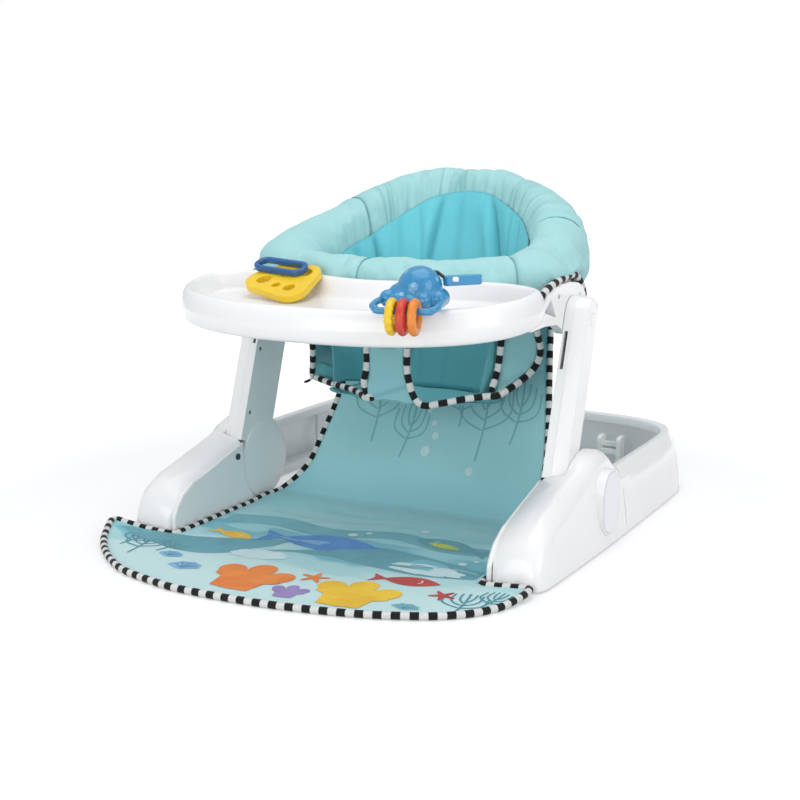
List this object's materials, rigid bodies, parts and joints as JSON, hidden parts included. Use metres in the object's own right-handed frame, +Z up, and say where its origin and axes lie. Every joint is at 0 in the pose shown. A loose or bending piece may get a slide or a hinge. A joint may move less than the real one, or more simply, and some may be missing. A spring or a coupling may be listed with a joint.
{
  "type": "baby floor seat",
  "caption": "Folding floor seat for a baby: padded ring with a fabric seat on two leaning legs, horseshoe base with a floor mat, snack tray with a teether and a rattle.",
  "frame": {"origin": "floor level below the middle of the part's bounding box, on its symmetry plane", "axes": "+X to the right seen from the front, +Y from the floor mat to the back of the base, +Z up"},
  "size_m": [0.5356, 0.7196, 0.4078],
  "materials": {
    "white_plastic": "smooth injection-moulded gloss",
    "satin_cap": "satin",
    "acetal": "satin",
    "pad_rubber": "matt",
    "zinc_steel": "zinc plated",
    "mat_fabric": "plain weave, printed",
    "striped_cord": "black and white striped piping",
    "ring_fabric": "padded polyester weave",
    "lining_fabric": "plain weave",
    "toy_yellow": "smooth",
    "toy_dark_blue": "smooth",
    "toy_blue": "smooth",
    "toy_red": "smooth",
    "toy_orange": "smooth"
  },
  "bodies": {
    "base": {"base_shell": "white_plastic", "foot_cover_left": "white_plastic", "foot_cover_right": "white_plastic", "hub_cap_left": "satin_cap", "hub_cap_right": "satin_cap", "hub_bush_left": "acetal", "hub_bush_right": "acetal", "rear_clip_left": "white_plastic", "rear_clip_right": "white_plastic", "foot_pads": "pad_rubber", "base_screws": "zinc_steel", "floor_mat": "mat_fabric", "mat_piping": "striped_cord", "back_panel": "mat_fabric", "panel_piping": "striped_cord"},
    "leg_right": {"leg_inner_right": "white_plastic", "leg_outer_right": "white_plastic", "fold_pivot_right": "zinc_steel", "leg_screws_right": "zinc_steel"},
    "leg_left": {"leg_inner_left": "white_plastic", "leg_outer_left": "white_plastic", "fold_pivot_left": "zinc_steel", "leg_screws_left": "zinc_steel"},
    "seat": {"seat_bracket_left": "white_plastic", "seat_bracket_right": "white_plastic", "tilt_pivot_left": "zinc_steel", "tilt_pivot_right": "zinc_steel", "ring_frame": "zinc_steel", "ring_pad": "ring_fabric", "seat_lining": "lining_fabric", "crotch_panel": "mat_fabric", "side_wing_left": "mat_fabric", "side_wing_right": "mat_fabric", "seat_piping": "striped_cord", "bracket_screws": "zinc_steel", "tray_clip_left": "acetal", "tray_clip_right": "acetal"},
    "tray": {"tray": "white_plastic"},
    "teether": {"teether": "toy_yellow"},
    "teether_link": {"teether_link": "toy_dark_blue"},
    "rattle": {"rattle_body": "toy_blue", "rattle_bar": "toy_blue", "rattle_clip": "toy_dark_blue"},
    "toy_ring_yellow": {"toy_ring_yellow": "toy_yellow"},
    "toy_ring_red": {"toy_ring_red": "toy_red"},
    "toy_ring_orange": {"toy_ring_orange": "toy_orange"}
  },
  "joints": [
    {"name": "leg_fold_right", "type": "hinge", "parent": "base", "child": "leg_right", "pos_m": [0.2126, 0.0007, 0.0517], "axis": [-1, 0, 0], "range_deg": [0, 70], "deforming": ["back_panel", "panel_piping", "seat_lining", "crotch_panel", "side_wing_left", "side_wing_right", "seat_piping"]},
    {"name": "leg_fold_left", "type": "hinge", "parent": "base", "child": "leg_left", "pos_m": [-0.2126, 0.0007, 0.0517], "axis": [-1, 0, 0], "range_deg": [0, 70]},
    {"name": "seat_tilt", "type": "hinge", "parent": "leg_right", "child": "seat", "pos_m": [0.193, 0.026, 0.252], "axis": [-1, 0, 0], "range_deg": [-63, 0]},
    {"name": "tray_lift", "type": "slide", "parent": "seat", "child": "tray", "axis": [0, 0, 1], "range_m": [0, 0.06]},
    {"name": "teether_lift", "type": "slide", "parent": "tray", "child": "teether", "axis": [0, 0, 1], "range_m": [0, 0.08]},
    {"name": "link_lift", "type": "slide", "parent": "teether", "child": "teether_link", "axis": [0, 0, 1], "range_m": [0, 0.04]},
    {"name": "rattle_lift", "type": "slide", "parent": "tray", "child": "rattle", "axis": [0, 0, 1], "range_m": [0, 0.08]},
    {"name": "ring_swing_yellow", "type": "hinge", "parent": "rattle", "child": "toy_ring_yellow", "pos_m": [0.11797, -0.25042, 0.2873], "axis": [-0.9703, -0.2419, 0], "range_deg": [-4, 60]},
    {"name": "ring_swing_red", "type": "hinge", "parent": "rattle", "child": "toy_ring_red", "pos_m": [0.12913, -0.24763, 0.2873], "axis": [-0.9703, -0.2419, 0], "range_deg": [-4, 60]},
    {"name": "ring_swing_orange", "type": "hinge", "parent": "rattle", "child": "toy_ring_orange", "pos_m": [0.14029, -0.24485, 0.2873], "axis": [-0.9703, -0.2419, 0], "range_deg": [-4, 60]}
  ],
  "couplings": [
    {"joint": "leg_fold_left", "follows": "leg_fold_right", "ratio": 1},
    {"joint": "seat_tilt", "follows": "leg_fold_right", "ratio": -0.9}
  ]
}
